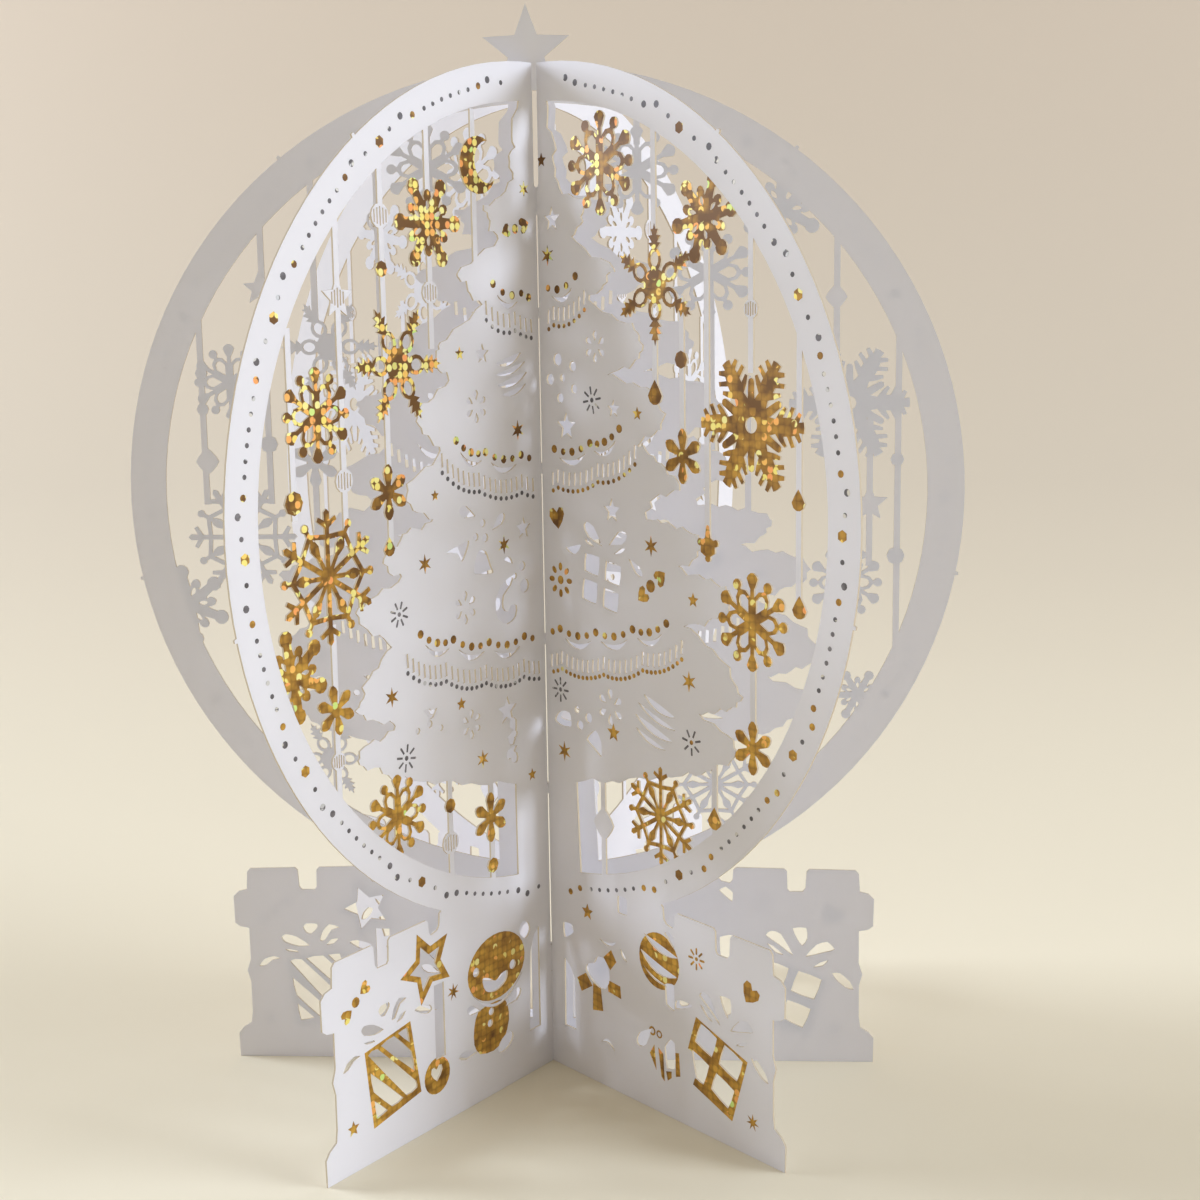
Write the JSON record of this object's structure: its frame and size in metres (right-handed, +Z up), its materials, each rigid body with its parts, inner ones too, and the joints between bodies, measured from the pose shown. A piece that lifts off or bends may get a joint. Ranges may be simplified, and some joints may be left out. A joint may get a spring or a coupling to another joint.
{
  "type": "pop up card",
  "caption": "Laser-cut pop up card of folded white sheets: round frames on a crenellated foot, a tree at the spine, hanging snowflakes and a star on top.",
  "frame": {"origin": "foot of the spine, on the lower edge of the middle sheet, level with the table", "axes": "+Z up along the spine, the middle sheet lies in the XZ plane, the front sheet opens towards -Y"},
  "size_m": [0.15, 0.1301, 0.1919],
  "materials": {
    "front_card": "matte, with printed gold and silver foil",
    "middle_card": "matte, with printed gold and silver foil at the rear",
    "rear_card": "matte, with printed gold and silver foil at the rear"
  },
  "bodies": {
    "root": {"front_sheet": "front_card", "middle_sheet": "middle_card", "rear_sheet": "rear_card"}
  },
  "joints": []
}
